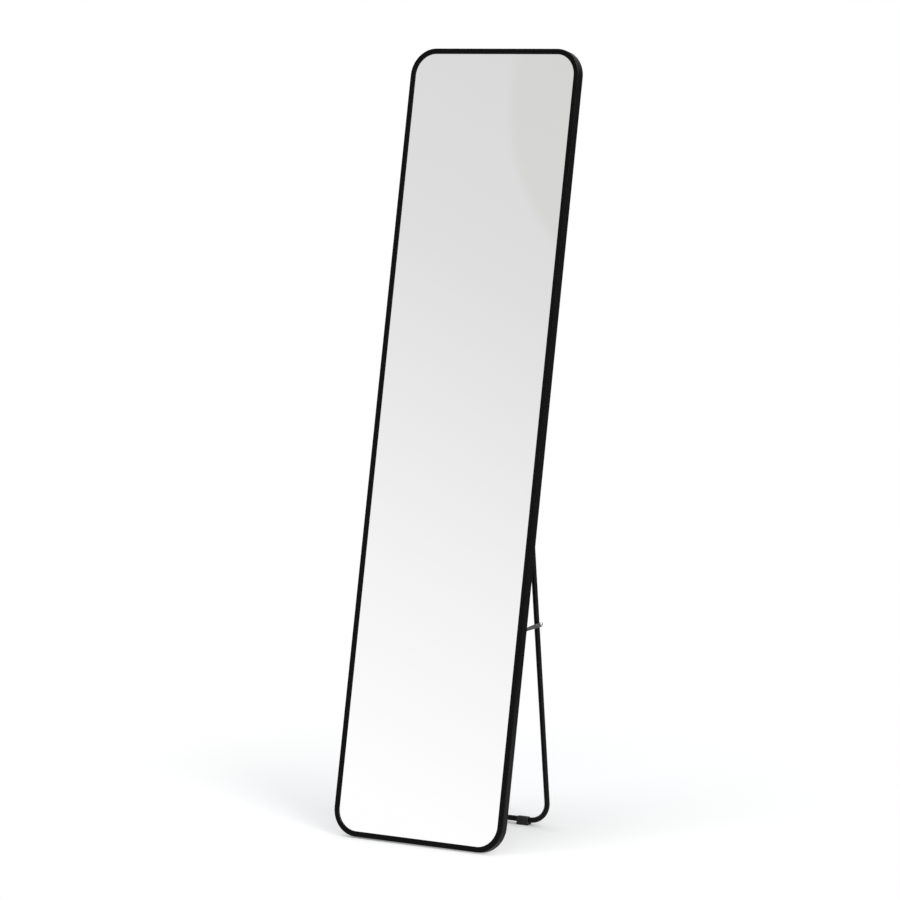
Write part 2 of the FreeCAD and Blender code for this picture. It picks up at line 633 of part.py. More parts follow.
def make_stay(side, sign):
    """Flat bar with a pivot eye. Its open hook lies under the stud and its nose rises behind it."""
    body = new_body(f"stay_{side}", ON_STAY_PIVOT)
    half = "Sizes.stay_shank_height / 2"
    eye = "Sizes.stay_eye_radius"
    root = f"sqrt({eye}^2 - ({half})^2)"
    slot = "(Sizes.stud_radius + Sizes.hook_gap)"
    wall = f"Layout.stay_reach + {slot}"
    outer = f"{wall} + Sizes.nose_width"
    top = "Sizes.stay_drop + Sizes.nose_rise"
    tip = "Sizes.nose_width / 2"
    slab(body, "bar", sign, "Layout.stay_x", "Sizes.stay_gauge", lambda sketch: outline(sketch, [
        (root, f"-{half}", eye, 1),
        (f"{outer} - Sizes.toe_radius", f"-{half}"),
        (outer, f"Sizes.toe_radius - {half}", "Sizes.toe_radius", 1),
        (outer, f"{top} - {tip}"),
        (f"{outer} - {tip}", top, tip, 1),
        (wall, f"{top} - {tip}", tip, 1),
        (wall, "Sizes.stay_drop"),
        ("Layout.stay_reach", f"Sizes.stay_drop - {slot}", slot, -1),
        ("Layout.stay_reach - Sizes.ramp_length", half),
        (root, half),
        ("0", eye, eye, 1),
        (f"-{eye}", "0", eye, 1),
        ("0", f"-{eye}", eye, 1),
    ]))
    bore = new_sketch(body, "eye_bore", "YZ", f"{sign} * Layout.stay_x")
    ring(bore, "0", "0", "Sizes.rivet_radius + Sizes.hole_clearance")
    extrude(body, "Pocket", bore, "Sizes.stay_gauge", reverse=sign > 0)


make_frame_hoop()
make_glazing()
make_setting_blocks()
make_board_clips()
make_seam_plate()
make_rail("hinge_rail", HINGE_UP)
make_rail("stay_rail", STAY_UP)
make_screws("seam_screws", seam_screw_places(), "Sizes.sheet_gauge + Sizes.plate_gauge")
make_screws("rail_screws", rail_screw_places(), "Sizes.sheet_gauge + Sizes.rail_gauge")
make_hinge_hardware()
make_stay_rivets()
make_stand_tube()
make_stay_studs()
for side, sign in SIDES:
    make_hinge_bracket(side, sign)
    make_stay_bracket(side, sign)
    make_foot(side, sign)
    make_stay(side, sign)

doc.recompute()
for item in doc.Objects:
    if "Invalid" in item.State or "Error" in item.State:
        raise RuntimeError(f"{item.Name} did not recompute: {item.State}")
for body in bodies:
    if body.Shape.isNull() or not body.Shape.isValid():
        raise RuntimeError(f"{body.Label} has no valid shape")
for body in bodies:
    body.Shape.exportStep(f"parts/{body.Label}.step")
    box = body.Shape.BoundBox
    print(f"{body.Label}: {len(body.Shape.Solids)} solid(s), {body.Shape.Volume / 1000:.2f} cm3,"
          f" X {box.XMin:.1f}..{box.XMax:.1f} Y {box.YMin:.1f}..{box.YMax:.1f} Z {box.ZMin:.1f}..{box.ZMax:.1f}")
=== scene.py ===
import math

import bmesh
import bpy
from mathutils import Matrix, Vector


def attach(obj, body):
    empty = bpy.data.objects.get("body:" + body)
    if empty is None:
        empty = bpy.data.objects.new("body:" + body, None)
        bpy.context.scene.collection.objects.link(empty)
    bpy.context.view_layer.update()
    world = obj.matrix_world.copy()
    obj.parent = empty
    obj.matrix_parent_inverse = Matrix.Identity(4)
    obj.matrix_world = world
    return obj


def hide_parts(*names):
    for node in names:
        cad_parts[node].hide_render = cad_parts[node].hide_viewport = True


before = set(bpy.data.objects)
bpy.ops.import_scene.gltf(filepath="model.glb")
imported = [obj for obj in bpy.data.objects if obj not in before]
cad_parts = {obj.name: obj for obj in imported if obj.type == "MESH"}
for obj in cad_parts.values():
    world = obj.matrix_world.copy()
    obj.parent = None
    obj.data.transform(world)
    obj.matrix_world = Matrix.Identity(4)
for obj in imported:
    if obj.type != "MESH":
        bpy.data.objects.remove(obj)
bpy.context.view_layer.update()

bpy.ops.object.select_all(action="DESELECT")

# Where things sit: the turn about X in degrees, then the place in metres.
# The mirror leans back, and the stand hangs from its hinges.
spots = {
    "mirror": (-11.5, (0, -0.149695, -0.000287)),
    "hinge": (6.725057, (0, 0.0261607, 0.8088977)),
    "stayPivot": (0, (0, -0.0568244, 0.4160605)),
    "crossTube": (0, (0, 0.1203049, 0.0105)),
}
limits = {"near": 1e-5, "merge": 1e-6, "facing": 0.9, "smoothBelow": 32, "flatBelow": 0.5}


def named(name):
    piece = bpy.context.object
    piece.name = name
    piece.data.name = name
    return piece


def objectMode():
    bpy.ops.object.mode_set(mode="OBJECT")


def editMode(kind, action="SELECT"):
    bpy.ops.object.mode_set(mode="EDIT")
    bpy.ops.mesh.select_mode(type=kind)
    bpy.ops.mesh.select_all(action=action)


def selectOnly(*pieces):
    objectMode()
    bpy.ops.object.select_all(action="DESELECT")
    for piece in pieces:
        piece.select_set(True)
    bpy.context.view_layer.objects.active = pieces[0]


# Selects the faces whose middle and normal pass the test.
def pickFaces(piece, test):
    editMode("FACE", "DESELECT")
    mesh = bmesh.from_edit_mesh(piece.data)
    for face in mesh.faces:
        face.select_set(test(face.calc_center_median(), face.normal))
    bmesh.update_edit_mesh(piece.data)


# Selects the edges whose two ends pass the test.
def pickEdges(piece, test):
    editMode("EDGE", "DESELECT")
    mesh = bmesh.from_edit_mesh(piece.data)
    for edge in mesh.edges:
        edge.select_set(test(edge.verts[0].co, edge.verts[1].co))
    bmesh.update_edit_mesh(piece.data)


def near(value, target, slack=limits["near"]):
    return abs(value - target) < slack


# Adds an edge line where a plane crosses the whole mesh.
def cutAt(point, normal):
    bpy.ops.mesh.select_all(action="SELECT")
    bpy.ops.mesh.bisect(plane_co=point, plane_no=normal)


def roundEdges(radius, steps, **settings):
    bpy.ops.mesh.bevel(offset=radius, segments=steps, affect="EDGES", **settings)


def modify(piece, kind, **settings):
    objectMode()
    bpy.context.view_layer.objects.active = piece
    modifier = piece.modifiers.new(kind.title(), kind)
    for setting, value in settings.items():
        setattr(modifier, setting, value)
    bpy.ops.object.modifier_apply(modifier=modifier.name)


def softenEdges(piece, width, angle, segments=2):
    modify(piece, "BEVEL", width=width, segments=segments, limit_method="ANGLE",
           angle_limit=math.radians(angle), use_clamp_overlap=True, harden_normals=False)


def thicken(piece, sheet):
    modify(piece, "SOLIDIFY", thickness=sheet, offset=-1, use_even_offset=True)


def cutOut(piece, cutter):
    modify(piece, "BOOLEAN", operation="DIFFERENCE", object=cutter, solver="EXACT")
    bpy.data.objects.remove(cutter)


# Box of a size about its middle, left in edit mode and selected all over.
def makeBox(name, middle, size):
    bpy.ops.mesh.primitive_cube_add(size=1, location=middle)
    box = named(name)
    bpy.ops.object.transform_apply(location=True)
    editMode("FACE")
    bpy.ops.transform.resize(value=size, center_override=middle)
    return box


# Rod between two points on a line along X or along Y.
def makeRod(name, start, end, radius, sides=40, turn=0.0):
    start, end = Vector(start), Vector(end)
    rotation = (turn, math.pi / 2, 0) if start.y == end.y else (math.pi / 2, 0, 0)
    bpy.ops.mesh.primitive_cylinder_add(
        vertices=sides, radius=radius, depth=(end - start).length, location=(start + end) / 2,
        rotation=rotation)
    rod = named(name)
    bpy.ops.object.transform_apply(location=True, rotation=True)
    return rod


# Rounds the rim at a place along an axis: 0 is X and 1 is Y.
def roundRim(rod, axis, place, radius, steps):
    pickEdges(rod, lambda a, b: near(a[axis], place) and near(b[axis], place))
    roundEdges(radius, steps)
    objectMode()


# Round hole along X.
def boreThrough(piece, x, out, up, radius, length):
    objectMode()
    cutOut(piece, makeRod("drill", (x - length / 2, out, up), (x + length / 2, out, up), radius))


def faceOutwards(piece):
    editMode("FACE")
    bpy.ops.mesh.remove_doubles(threshold=limits["merge"])
    bpy.ops.mesh.normals_make_consistent(inside=False)
    objectMode()


# Drops the lines that lie inside flat faces.
def tidyFlat():
    editMode("FACE")
    bpy.ops.mesh.remove_doubles(threshold=limits["merge"])
    bpy.ops.mesh.dissolve_limited(angle_limit=math.radians(limits["flatBelow"]))
    objectMode()


# Turns a piece about X, moves it to its place and puts both into its mesh.
def settle(piece, spot):
    turn, place = spots[spot]
    selectOnly(piece)
    piece.rotation_euler = (math.radians(turn), 0, 0)
    piece.location = place
    bpy.ops.object.transform_apply(location=True, rotation=True, scale=True)
    bpy.ops.object.shade_smooth_by_angle(angle=math.radians(limits["smoothBelow"]))
    modify(piece, "WEIGHTED_NORMAL", weight=100, keep_sharp=True)  # keeps flat faces flat beside rounded edges
    piece.select_set(False)


# A second piece with its own mesh, moved or mirrored across the middle.
def copyOf(piece, name, shift=(0, 0, 0), flip=False):
    selectOnly(piece)
    bpy.ops.object.duplicate()
    twin = named(name)
    editMode("FACE")
    bpy.ops.transform.translate(value=shift)
    if flip:
        bpy.ops.transform.resize(value=(-1, 1, 1), center_override=(0, 0, 0))
        bpy.ops.mesh.normals_make_consistent(inside=False)
    objectMode()
    return twin


def joined(pieces, name):
    selectOnly(*pieces)
    bpy.ops.object.join()
    return named(name)


# Settles a piece, gives it its material and body, and hides the CAD node it stands for.
def finishPiece(piece, spot, material, body, node):
    settle(piece, spot)
    piece.data.materials.clear()
    piece.data.materials.append(material)
    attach(piece, body)
    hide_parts(node)
    bpy.ops.object.select_all(action="DESELECT")


# The right-hand piece and its mirrored twin, as two pieces.
def finishPair(right, leftName, spot, material, bodies, nodes):
    left = copyOf(right, leftName, flip=True)
    for piece, body, node in zip((left, right), bodies, nodes):
        finishPiece(piece, spot, material, body, node)


# One piece made of a right-hand form and its mirrored twin.
def finishMirrored(right, name, spot, material, body, node):
    left = copyOf(right, "leftTwin", flip=True)
    finishPiece(joined([right, left], name), spot, material, body, node)


def newGroup(name, inputs, outputs):
    group = bpy.data.node_groups.new(name, "ShaderNodeTree")
    for label, kind, default in inputs:
        socket = group.interface.new_socket(name=label, in_out="INPUT", socket_type=kind)
        socket.default_value = default
    for label in outputs:
        group.interface.new_socket(name=label, in_out="OUTPUT", socket_type="NodeSocketFloat")
    return group, group.nodes.new("NodeGroupInput"), group.nodes.new("NodeGroupOutput")


# Links another node's output to each input, or sets the input's value.
def feed(tree, node, sources):
    for socket, source in sources.items():
        if hasattr(source, "is_output"):
            tree.links.new(source, node.inputs[socket])
        else:
            node.inputs[socket].default_value = source
    return node


def addNode(tree, kind, sources=None, **settings):
    node = tree.nodes.new("ShaderNode" + kind)
    for setting, value in settings.items():
        setattr(node, setting, value)
    return feed(tree, node, sources or {})


def placeGroup(tree, group, sources):
    node = tree.nodes.new("ShaderNodeGroup")
    node.node_tree = group
    return feed(tree, node, sources)


def combine(tree, operation, first, second):
    return addNode(tree, "Math", {0: first, 1: second}, operation=operation).outputs[0]


# Maps a value from one span to another.
def spread(tree, value, source=(0, 1), target=(0, 1), **settings):
    return addNode(tree, "MapRange", {
        "Value": value, "From Min": source[0], "From Max": source[1],
        "To Min": target[0], "To Max": target[1]}, **settings).outputs[0]


def rampOf(tree, source, stops):
    ramp = addNode(tree, "ValToRGB", {"Fac": source})
    elements = ramp.color_ramp.elements
    while len(elements) < len(stops):
        elements.new(0.5)
    for element, (position, shade) in zip(elements, stops):
        element.position = position
        element.color = (*shade, 1) if hasattr(shade, "__len__") else (shade, shade, shade, 1)
    return ramp.outputs["Color"]


# Colour that goes from dark to light by a factor.
def mixColour(tree, factor, dark, light):
    mix = tree.nodes.new("ShaderNodeMix")
    mix.data_type = "RGBA"
    shades = [source if hasattr(source, "is_output") else (*source, 1) for source in (dark, light)]
    return feed(tree, mix, {0: factor, 6: shades[0], 7: shades[1]}).outputs[2]


# Fine bumps and a slow drift, as baked powder, plate or moulded rubber has.
def makeGrain(look):
    group, start, end = newGroup("surfaceGrain", [
        ("Position", "NodeSocketVector", (0, 0, 0)),
        ("Grain Scale", "NodeSocketFloat", look["grainScale"]),
        ("Drift Scale", "NodeSocketFloat", look["driftScale"]),
    ], ["Height", "Drift"])
    for output, scale, (detail, roughness) in (("Height", "Grain Scale", look["grain"]),
                                               ("Drift", "Drift Scale", look["drift"])):
        noise = addNode(group, "TexNoise", {
            "Vector": start.outputs["Position"], "Scale": start.outputs[scale],
            "Detail": detail, "Roughness": roughness})
        group.links.new(noise.outputs["Fac"], end.inputs[output])
    return group


# Mask of the outer edges, broken up into patches, where a painted highlight lightens the colour here and there.
def makePaintedEdgeHighlight(look):
    group, start, end = newGroup("paintedEdgeHighlight", [
        ("Position", "NodeSocketVector", (0, 0, 0)),
        ("Reach", "NodeSocketFloat", look["reach"]),
        ("Patch Scale", "NodeSocketFloat", look["patchScale"]),
    ], ["Mask"])
    geometry = addNode(group, "NewGeometry")
    reach = start.outputs["Reach"]
    full = combine(group, "ADD", reach, look["spread"])
    edge = spread(group, geometry.outputs["Pointiness"], (reach, full))
    patches = addNode(group, "TexNoise", {
        "Vector": start.outputs["Position"], "Scale": start.outputs["Patch Scale"],
        "Detail": look["patchDetail"]})
    broken = spread(group, patches.outputs["Fac"], look["patchSpan"])
    group.links.new(combine(group, "MULTIPLY", edge, broken), end.inputs["Mask"])
    return group


surfaceGrain = makeGrain({"grainScale": 900, "driftScale": 9, "grain": (2.0, 0.55), "drift": (3.0, 0.6)})
# painted edge highlight: a lighter colour on the sharp edges, in patches
paintedEdgeHighlight = makePaintedEdgeHighlight({
    "reach": 0.56, "spread": 0.05, "patchScale": 40, "patchDetail": 4.0, "patchSpan": (0.42, 0.62)})


def startMaterial(name):
    material = bpy.data.materials.new(name)
    material.use_nodes = True
    tree = material.node_tree
    shader = tree.nodes["Principled BSDF"]
    position = addNode(tree, "TexCoord").outputs["Object"]
    return material, tree, shader, position


def placeGrain(tree, position, look):
    return placeGroup(tree, surfaceGrain, {
        "Position": position, "Grain Scale": look["grainScale"], "Drift Scale": look["driftScale"]})


# Places the mask of the painted edge highlight.
def placePaintedHighlight(tree, position, look):
    reach, patchScale = look["edgeHighlightMask"]
    return placeGroup(tree, paintedEdgeHighlight, {
        "Position": position, "Reach": reach, "Patch Scale": patchScale}).outputs["Mask"]


def bumpFrom(tree, height, strengthAndDepth):
    strength, depth = strengthAndDepth
    bump = addNode(tree, "Bump", {"Height": height, "Strength": strength, "Distance": depth})
    return bump.outputs["Normal"]


# Baked powder paint: a fine orange peel, a slow drift in gloss and a painted highlight on the sharp edges.
def makePowderCoat(name, look):
    material, tree, shader, position = startMaterial(name)
    grain = placeGrain(tree, position, look)
    drift = grain.outputs["Drift"]
    paint = mixColour(tree, drift, look["dark"], look["light"])
    # painted highlight: the sharp edges are lightened towards the highlight shade
    highlightShare = combine(tree, "MULTIPLY", placePaintedHighlight(tree, position, look), look["highlightStrength"])
    feed(tree, shader, {
        "Base Color": mixColour(tree, highlightShare, paint, look["highlightShade"]),
        "Roughness": spread(tree, drift, target=look["roughness"]),
        "Specular IOR Level": look["specular"],
        "Normal": bumpFrom(tree, grain.outputs["Height"], look["bump"])})
    return material


# In each of these paints the lightest shade is the painted highlight on the sharp edges.
framePaint = {
    "dark": (0.0014, 0.0014, 0.0015), "light": (0.003, 0.003, 0.0031), "highlightShade": (0.035, 0.035, 0.036),
    "edgeHighlightMask": (0.56, 30), "highlightStrength": 0.35, "roughness": (0.24, 0.34), "specular": 0.055,
    "grainScale": 1300, "driftScale": 7, "bump": (0.2, 0.0002),
}
standPaint = dict(framePaint, roughness=(0.34, 0.44), specular=0.12, driftScale=12)
railPaint = dict(framePaint, dark=(0.006, 0.006, 0.0062), light=(0.011, 0.011, 0.0115),
                 roughness=(0.45, 0.6), specular=0.4, driftScale=18)
screwBlack = dict(framePaint, dark=(0.01, 0.01, 0.011), light=(0.02, 0.02, 0.021),
                  highlightShade=(0.25, 0.25, 0.26), highlightStrength=0.6, roughness=(0.3, 0.45), specular=0.5)


# Bright zinc on steel: fine draw lines, cloudy plating with a faint tint and a painted highlight on the sharp
# edges.
def makeZincPlate(name, look):
    material, tree, shader, position = startMaterial(name)
    stretch = addNode(tree, "Mapping", {"Vector": position, "Scale": look["drawLines"]})
    detail, roughness = look["lineDetail"]
    lines = addNode(tree, "TexNoise", {
        "Vector": stretch.outputs["Vector"], "Scale": look["lineScale"], "Detail": detail,
        "Roughness": roughness}).outputs["Fac"]
    grain = placeGrain(tree, position, look)
    plate = mixColour(tree, grain.outputs["Drift"], look["dark"], look["light"])
    # painted highlight: the sharp edges are lightened towards the highlight shade
    feed(tree, shader, {
        "Base Color": mixColour(tree, placePaintedHighlight(tree, position, look), plate, look["highlightShade"]),
        "Roughness": spread(tree, lines, look["lineSpan"], look["roughness"]),
        "Metallic": 1,
        "Normal": bumpFrom(tree, lines, look["bump"])})
    return material


# In both zinc finishes the lightest shade is the painted highlight on the sharp edges.
zincHardware = {
    "dark": (0.46, 0.47, 0.47), "light": (0.62, 0.62, 0.6), "highlightShade": (0.75, 0.75, 0.74),
    "drawLines": (40, 1, 8), "lineScale": 60.0, "lineDetail": (5.0, 0.7), "lineSpan": (0.3, 0.7),
    "grainScale": 1500, "driftScale": 60, "edgeHighlightMask": (0.55, 120), "roughness": (0.24, 0.4), "bump": (0.25, 0.0001),
}
zincStay = dict(zincHardware, dark=(0.14, 0.14, 0.14), light=(0.24, 0.24, 0.235), highlightShade=(0.6, 0.6, 0.59),
                drawLines=(10, 1, 30), driftScale=45, roughness=(0.34, 0.5))

silver = {
    "scale": 5.0, "detail": (6.0, 0.65), "smearSpan": (0.45, 0.75), "roughness": (0.0, 0.018),
    "dark": (0.985, 0.99, 0.985), "light": (0.995, 0.998, 0.995),
}


# Silvered glass with a trace of haze, just enough to keep its reflection from being perfect.
def makeMirrorSilver(look):
    material, tree, shader, position = startMaterial("silveredGlass")
    detail, roughness = look["detail"]
    haze = addNode(tree, "TexNoise", {
        "Vector": position, "Scale": look["scale"], "Detail": detail, "Roughness": roughness}).outputs["Fac"]
    feed(tree, shader, {
        "Base Color": mixColour(tree, haze, look["dark"], look["light"]),
        "Roughness": spread(tree, haze, look["smearSpan"], look["roughness"]),
        "Metallic": 1})
    return material


hardboardLook = {
    "matting": (3, 3, 1), "fibreScale": 130.0, "fibreDetail": 8.0, "fibreRoughness": 0.75, "tangle": 1.4,
    "fibres": [(0.25, (0.018, 0.012, 0.009)), (0.5, (0.045, 0.03, 0.021)), (0.78, (0.09, 0.062, 0.042))],
    "speckScale": 260.0, "specks": [(0.0, 1.0), (0.16, 0.0), (1.0, 0.0)], "fleck": (0.085, 0.06, 0.041),
    "stainScale": 4.0, "stainDetail": 4.0, "stain": [(0.3, 0.55), (0.7, 1.0)], "stainShare": 0.45,
    "roughness": (0.45, 0.75), "bump": (0.4, 0.0003),
}


# Dark oiled hardboard: matted fibres pressed smooth, with specks and a slow stain.
def makeHardboard(look):
    material, tree, shader, position = startMaterial("oiledHardboard")
    matted = addNode(tree, "Mapping", {"Vector": position, "Scale": look["matting"]})
    fibres = addNode(tree, "TexNoise", {
        "Vector": matted.outputs["Vector"], "Scale": look["fibreScale"], "Detail": look["fibreDetail"],
        "Roughness": look["fibreRoughness"], "Distortion": look["tangle"]}).outputs["Fac"]
    specks = addNode(tree, "TexVoronoi", {"Vector": position, "Scale": look["speckScale"]})
    stain = addNode(tree, "TexNoise", {
        "Vector": position, "Scale": look["stainScale"], "Detail": look["stainDetail"]})
    flecked = mixColour(tree, rampOf(tree, specks.outputs["Distance"], look["specks"]),
                        rampOf(tree, fibres, look["fibres"]), look["fleck"])
    stained = addNode(tree, "MixRGB", {
        "Fac": look["stainShare"], "Color1": flecked,
        "Color2": rampOf(tree, stain.outputs["Fac"], look["stain"])}, blend_type="MULTIPLY")
    feed(tree, shader, {
        "Base Color": stained.outputs[0],
        "Roughness": spread(tree, fibres, target=look["roughness"]),
        "Normal": bumpFrom(tree, fibres, look["bump"])})
    return material


foamLook = {"poreScale": 1100.0, "pores": [(0.05, 0.004), (0.5, 0.016)], "roughness": 0.9, "bump": (0.6, 0.0003)}


# Closed-cell foam: black, with small open pores.
def makeFoamTape(look):
    material, tree, shader, position = startMaterial("foamTape")
    pores = addNode(tree, "TexVoronoi", {"Vector": position, "Scale": look["poreScale"]}).outputs["Distance"]
    feed(tree, shader, {
        "Base Color": rampOf(tree, pores, look["pores"]), "Roughness": look["roughness"],
        "Normal": bumpFrom(tree, pores, look["bump"])})
    return material


# Two shades that drift into each other, with a fine grain. "plain" holds the shader's constant values.
def makeGrained(name, look):
    material, tree, shader, position = startMaterial(name)
    grain = placeGrain(tree, position, look)
    drift = grain.outputs["Drift"]
    feed(tree, shader, {
        "Base Color": mixColour(tree, drift, look["dark"], look["light"]),
        "Normal": bumpFrom(tree, grain.outputs["Height"], look["bump"]), **look["plain"]})
    if "roughness" in look:
        feed(tree, shader, {"Roughness": spread(tree, drift, target=look["roughness"])})
    return material


groundEdge = {  # grey-green and satin, as ground float glass is
    "dark": (0.1, 0.2, 0.16), "light": (0.2, 0.33, 0.27), "grainScale": 1200, "driftScale": 30,
    "bump": (0.5, 0.0001), "plain": {"Roughness": 0.35},
}
greyPaint = {  # protects the silver from behind
    "dark": (0.16, 0.18, 0.19), "light": (0.22, 0.24, 0.25), "grainScale": 300, "driftScale": 6,
    "bump": (0.3, 0.0002), "plain": {"Roughness": 0.55},
}
mattRubber = {
    "dark": (0.003, 0.003, 0.003), "light": (0.009, 0.009, 0.009), "grainScale": 1600, "driftScale": 70,
    "bump": (0.4, 0.0002), "roughness": (0.55, 0.8), "plain": {"Specular IOR Level": 0.25},
}
milkyNylon = {
    "dark": (0.62, 0.61, 0.55), "light": (0.76, 0.75, 0.7), "grainScale": 900, "driftScale": 90,
    "bump": (0.2, 0.0001), "plain": {"Roughness": 0.42, "Subsurface Weight": 0.15, "Subsurface Scale": 0.002},
}
blueStrip = {  # hardened strip, blued by its heat treatment
    "dark": (0.1, 0.12, 0.17), "light": (0.22, 0.24, 0.3), "grainScale": 1400, "driftScale": 50,
    "bump": (0.2, 0.0001), "roughness": (0.22, 0.38), "plain": {"Metallic": 1},
}

frameBlack = makePowderCoat("framePowderCoat", framePaint)
standBlack = makePowderCoat("standPowderCoat", standPaint)
railBlack = makePowderCoat("railPowderCoat", railPaint)
blackOxide = makePowderCoat("blackOxide", screwBlack)
brightZinc = makeZincPlate("brightZinc", zincHardware)
dullZinc = makeZincPlate("dullZinc", zincStay)
silvered = makeMirrorSilver(silver)
hardboard = makeHardboard(hardboardLook)
foam = makeFoamTape(foamLook)
glassEdge = makeGrained("groundGlassEdge", groundEdge)
backPaint = makeGrained("silverBackPaint", greyPaint)
rubber = makeGrained("mouldedRubber", mattRubber)
nylon = makeGrained("naturalNylon", milkyNylon)
springSteel = makeGrained("bluedSpringSteel", blueStrip)
print("finishes made")


hoop = {
    "width": 0.390, "height": 1.600, "depth": 0.020, "sheet": 0.0012, "lip": 0.011, "flange": 0.012,
    "cornerRadius": 0.055, "cornerSteps": 28, "frontFold": 0.0026, "rearFold": 0.0016, "foldSteps": 5,
    "seam": 0.0003, "cutEdge": 0.00022, "cutAngle": 60, "outlineSlack": 2e-4,
}


# Upright sheet of one face with round corners. Its front lies at the given depth.
def roundedSheet(name, gap, front):
    width, height = hoop["width"] - 2 * gap, hoop["height"] - 2 * gap
    middle = (0, front, gap + height / 2)
    bpy.ops.mesh.primitive_plane_add(size=1, location=middle, rotation=(math.pi / 2, 0, 0))
    sheet = named(name)
    bpy.ops.object.transform_apply(location=True, rotation=True, scale=True)
    editMode("VERT")
    bpy.ops.transform.resize(value=(width, 1, height), center_override=middle)
    bpy.ops.mesh.bevel(offset=hoop["cornerRadius"] - gap, segments=hoop["cornerSteps"], affect="VERTICES",
                       profile=0.5)
    return sheet


def makeHoop(size):
    half, depth, inset = size["width"] / 2, size["depth"], size["cornerRadius"]
    piece = roundedSheet("frameHoop", 0, -depth)

    # True when both ends lie on the hoop's outer line at that depth.
    def onOutline(a, b, out):
        for point in (a, b):
            x = max(abs(point.x) - (half - inset), 0)
            z = max(abs(point.z - size["height"] / 2) - (size["height"] / 2 - inset), 0)
            if not (near(point.y, out) and near(math.hypot(x, z), inset, size["outlineSlack"])):
                return False
        return True

    # front lip, then the wall, then the flange behind
    editMode("FACE")
    bpy.ops.mesh.inset(thickness=size["lip"], use_even_offset=True)
    bpy.ops.mesh.delete(type="FACE")
    pickEdges(piece, lambda a, b: onOutline(a, b, -depth))
    bpy.ops.mesh.extrude_edges_move(TRANSFORM_OT_translate={"value": (0, depth, 0)})
    pickEdges(piece, lambda a, b: onOutline(a, b, 0))
    bpy.ops.mesh.edge_face_add()
    bpy.ops.mesh.select_mode(type="FACE")
    bpy.ops.mesh.inset(thickness=size["flange"], use_even_offset=True)
    bpy.ops.mesh.delete(type="FACE")
    for out, radius in ((-depth, size["frontFold"]), (0, size["rearFold"])):
        pickEdges(piece, lambda a, b: onOutline(a, b, out))
        roundEdges(radius, size["foldSteps"], profile=0.5, loop_slide=False)
    # seam at the middle of the bottom
    for side in (-1, 1):
        cutAt((side * size["seam"] / 2, 0, 0), (1, 0, 0))
    pickFaces(piece, lambda middle, normal: abs(middle.x) < size["seam"] / 2 and middle.z < half)
    bpy.ops.mesh.delete(type="FACE")
    faceOutwards(piece)
    lipFacing = [face.normal.y for face in piece.data.polygons if near(face.center.y, -depth)]
    if sum(lipFacing) > 0:  # an open shell can come out with all its faces turned in
        editMode("FACE")
        bpy.ops.mesh.flip_normals()
    thicken(piece, size["sheet"])
    softenEdges(piece, size["cutEdge"], size["cutAngle"])
    return piece


finishPiece(makeHoop(hoop), "mirror", frameBlack, "frame", "frame_hoop")
print("hoop made")


mirror = {"front": -0.0178, "thick": 0.004, "gap": 0.0032, "edge": 0.0004, "cutAngle": 60, "flatShare": 0.99}
backing = {"front": -0.0138, "thick": 0.005, "gap": 0.0032, "edge": 0.0006, "cutAngle": 60}


def makePane(name, size):
    pane = roundedSheet(name, size["gap"], size["front"])
    editMode("FACE")
    bpy.ops.mesh.extrude_region_move(TRANSFORM_OT_translate={"value": (0, size["thick"], 0)})
    faceOutwards(pane)
    softenEdges(pane, size["edge"], size["cutAngle"])
    return pane


# Silver in front, grey paint behind and ground glass all round.
def coatGlass(pane):
    pane.data.materials.append(glassEdge)
    pane.data.materials.append(backPaint)
    lean = math.radians(-spots["mirror"][0])
    forwards = Vector((0, -math.cos(lean), math.sin(lean)))
    for face in pane.data.polygons:
        facing = face.normal.dot(forwards)
        flat = abs(facing) > mirror["flatShare"]
        face.material_index = 1 if not flat else 0 if facing > 0 else 2


glass = makePane("mirrorGlass", mirror)
finishPiece(glass, "mirror", silvered, "frame", "mirror_glass")
coatGlass(glass)
finishPiece(makePane("backingBoard", backing), "mirror", hardboard, "frame", "backing_board")
print("glass and board made")


rail = {
    "height": 0.030, "back": -0.0012, "board": -0.0088, "half": 0.1933, "sheet": 0.0015,
    "foldRadius": 0.002, "foldSteps": 5, "cutEdge": 0.0002, "cutAngle": 60,
    "places": {"hingeRail": (0.828, "hinge_rail"), "stayRail": (0.4265047, "stay_rail")},
}


# Folded channel, open towards the board.
def makeRail(name, up):
    back, front = rail["back"], rail["board"]
    piece = makeBox(name, (0, (back + front) / 2, up), (2 * rail["half"], back - front, rail["height"]))
    pickFaces(piece, lambda middle, normal: normal.y < -limits["facing"] or abs(normal.x) > limits["facing"])
    bpy.ops.mesh.delete(type="FACE")
    pickEdges(piece, lambda a, b: near(a.y, back) and near(b.y, back) and near(a.z, b.z))
    roundEdges(rail["foldRadius"], rail["foldSteps"])
    thicken(piece, rail["sheet"])
    softenEdges(piece, rail["cutEdge"], rail["cutAngle"])
    return piece


for name, (up, node) in rail["places"].items():
    finishPiece(makeRail(name, up), "mirror", railBlack, "frame", node)
print("rails made")


# "ears" gives where each ear starts along X, and "round" the ends of the plate with round corners.
hingeBracket = {
    "lowX": 0.1265, "highX": 0.1575, "round": (0.1265, 0.1575), "ears": (0.1375, 0.1445), "earRadius": 0.0075,
    "earSteps": 12, "pivotX": 0.142, "pivotOut": 0.011, "up": 0.828, "height": 0.026, "sheet": 0.002,
    "cornerRadius": 0.003, "cornerSteps": 6, "hole": 0.00255, "edge": 0.00035, "edgeAngle": 40,
}
stayBracket = dict(hingeBracket, lowX=0.152, highX=0.171, round=(0.171,), ears=(0.152,), earRadius=0.005,
                   pivotX=0.152, pivotOut=0.008, up=0.4265047, hole=0.00225)


